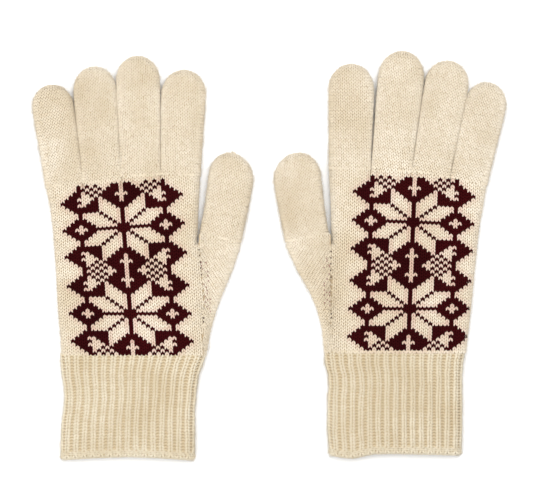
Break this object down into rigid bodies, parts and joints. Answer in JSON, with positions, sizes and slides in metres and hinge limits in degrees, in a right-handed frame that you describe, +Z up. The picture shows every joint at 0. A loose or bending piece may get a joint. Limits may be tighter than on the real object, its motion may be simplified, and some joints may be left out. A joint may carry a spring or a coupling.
{
  "type": "knitted gloves",
  "caption": "Pair of fine-knit wool gloves lying flat, with a two-colour star panel on the back of each hand, a thumb gusset marked by tuck stitches, and ribbed cuffs.",
  "frame": {"origin": "bottom centre of the bounding box of the pair as it lies on a table, palms down", "axes": "+X across the pair from the left-hand glove to the right-hand glove, +Y from the cuffs to the fingertips, +Z up out of the backs of the hands"},
  "size_m": [0.275, 0.2399, 0.0118],
  "materials": {
    "cream_wool": "fine plain-knit cream wool, slightly fuzzy",
    "rib_wool": "cream wool in one-by-one rib",
    "burgundy_wool": "very dark burgundy wool, matt"
  },
  "bodies": {
    "left_hand": {"left_hand_back": "cream_wool", "left_hand_palm": "cream_wool", "left_thumb_gusset": "cream_wool", "left_star_pattern": "burgundy_wool", "left_pattern_floats": "burgundy_wool", "left_gusset_tacks": "burgundy_wool"},
    "left_index_finger_body": {"left_index_finger": "cream_wool"},
    "left_middle_finger_body": {"left_middle_finger": "cream_wool"},
    "left_ring_finger_body": {"left_ring_finger": "cream_wool"},
    "left_little_finger_body": {"left_little_finger": "cream_wool"},
    "left_thumb_body": {"left_thumb": "cream_wool"},
    "left_cuff_body": {"left_cuff": "rib_wool", "left_cuff_hem": "rib_wool"},
    "right_hand": {"right_hand_back": "cream_wool", "right_hand_palm": "cream_wool", "right_thumb_gusset": "cream_wool", "right_star_pattern": "burgundy_wool", "right_pattern_floats": "burgundy_wool", "right_gusset_tacks": "burgundy_wool"},
    "right_index_finger_body": {"right_index_finger": "cream_wool"},
    "right_middle_finger_body": {"right_middle_finger": "cream_wool"},
    "right_ring_finger_body": {"right_ring_finger": "cream_wool"},
    "right_little_finger_body": {"right_little_finger": "cream_wool"},
    "right_thumb_body": {"right_thumb": "cream_wool"},
    "right_cuff_body": {"right_cuff": "rib_wool", "right_cuff_hem": "rib_wool"}
  },
  "joints": [
    {"name": "gloves_apart", "type": "slide", "parent": "left_hand", "child": "right_hand", "axis": [1, 0, 0], "range_m": [0, 0.12]},
    {"name": "left_index_finger_bend", "type": "hinge", "parent": "left_hand", "child": "left_index_finger_body", "pos_m": [-0.0517, 0.0489, 0.0055], "axis": [-0.9994, 0.0349, 0], "range_deg": [-30, 90]},
    {"name": "left_middle_finger_bend", "type": "hinge", "parent": "left_hand", "child": "left_middle_finger_body", "pos_m": [-0.0751, 0.0486, 0.0055], "axis": [-0.9995, -0.0332, 0], "range_deg": [-30, 90]},
    {"name": "left_ring_finger_bend", "type": "hinge", "parent": "left_hand", "child": "left_ring_finger_body", "pos_m": [-0.0977, 0.0451, 0.0055], "axis": [-0.9966, -0.0819, 0], "range_deg": [-30, 90]},
    {"name": "left_little_finger_bend", "type": "hinge", "parent": "left_hand", "child": "left_little_finger_body", "pos_m": [-0.1201, 0.0432, 0.0055], "axis": [-0.9888, -0.1495, 0], "range_deg": [-30, 90]},
    {"name": "left_thumb_bend", "type": "hinge", "parent": "left_hand", "child": "left_thumb_body", "pos_m": [-0.0282, 0.0121, 0.0055], "axis": [-0.9806, 0.196, 0], "range_deg": [-20, 70]},
    {"name": "left_wrist_fold", "type": "hinge", "parent": "left_hand", "child": "left_cuff_body", "pos_m": [-0.0804, -0.0608, 0.0055], "axis": [1, 0, 0], "range_deg": [-80, 80]},
    {"name": "right_index_finger_bend", "type": "hinge", "parent": "right_hand", "child": "right_index_finger_body", "pos_m": [0.0468, 0.0524, 0.0055], "axis": [-0.9998, 0.0209, 0], "range_deg": [-30, 90]},
    {"name": "right_middle_finger_bend", "type": "hinge", "parent": "right_hand", "child": "right_middle_finger_body", "pos_m": [0.0714, 0.0517, 0.0055], "axis": [-0.9943, 0.1063, 0], "range_deg": [-30, 90]},
    {"name": "right_ring_finger_bend", "type": "hinge", "parent": "right_hand", "child": "right_ring_finger_body", "pos_m": [0.0944, 0.0492, 0.0055], "axis": [-0.9839, 0.1788, 0], "range_deg": [-30, 90]},
    {"name": "right_little_finger_bend", "type": "hinge", "parent": "right_hand", "child": "right_little_finger_body", "pos_m": [0.117, 0.0451, 0.0055], "axis": [-0.977, 0.213, 0], "range_deg": [-30, 90]},
    {"name": "right_thumb_bend", "type": "hinge", "parent": "right_hand", "child": "right_thumb_body", "pos_m": [0.0215, 0.0122, 0.0055], "axis": [-0.9845, -0.1754, 0], "range_deg": [-20, 70]},
    {"name": "right_wrist_fold", "type": "hinge", "parent": "right_hand", "child": "right_cuff_body", "pos_m": [0.0737, -0.0584, 0.0055], "axis": [1, 0, 0], "range_deg": [-80, 80]}
  ]
}
